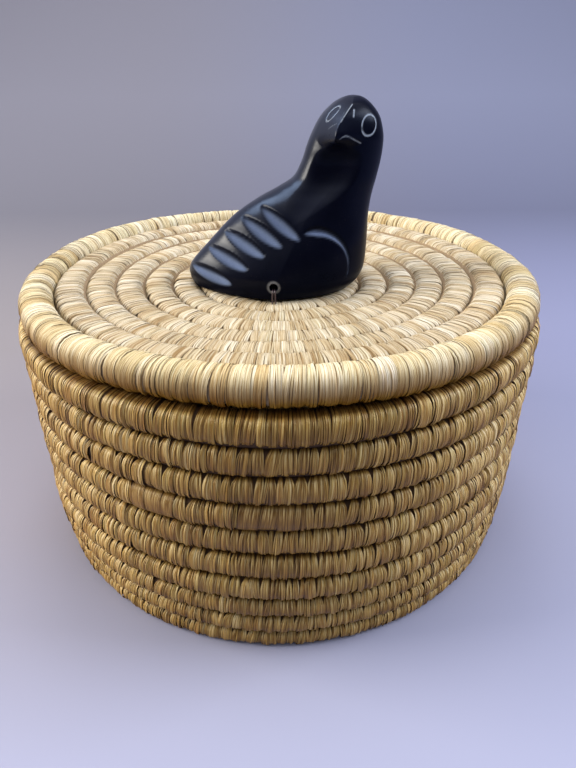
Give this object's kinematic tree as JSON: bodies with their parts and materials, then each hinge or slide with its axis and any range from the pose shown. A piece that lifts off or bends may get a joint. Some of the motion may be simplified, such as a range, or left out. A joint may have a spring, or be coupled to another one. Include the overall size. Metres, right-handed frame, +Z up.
{
  "type": "lidded coiled basket",
  "caption": "Round coiled grass basket with straight courses, a dished lid that lifts off, and a carved dark stone bird tied on top as the lid's handle.",
  "frame": {"origin": "centre of the foot, on the surface that the basket stands on", "axes": "+Z up through the lid and along its lift, -Y towards the front that the bird's face looks to, -X towards the bird's tail"},
  "size_m": [0.2036, 0.2036, 0.1674],
  "materials": {
    "golden_grass": "satin",
    "pale_grass": "satin",
    "black_soapstone": "gloss",
    "lashing_thread": "satin"
  },
  "bodies": {
    "basket": {"wall_coil": "golden_grass", "base_coil": "golden_grass"},
    "lid": {"lid_coil": "pale_grass", "lid_edge_coil": "pale_grass", "lid_flange_coil": "golden_grass", "bird": "black_soapstone", "bird_lashing": "lashing_thread"}
  },
  "joints": [
    {"name": "lid_lift", "type": "slide", "parent": "basket", "child": "lid", "axis": [0, 0, 1], "range_m": [0, 0.16]}
  ]
}
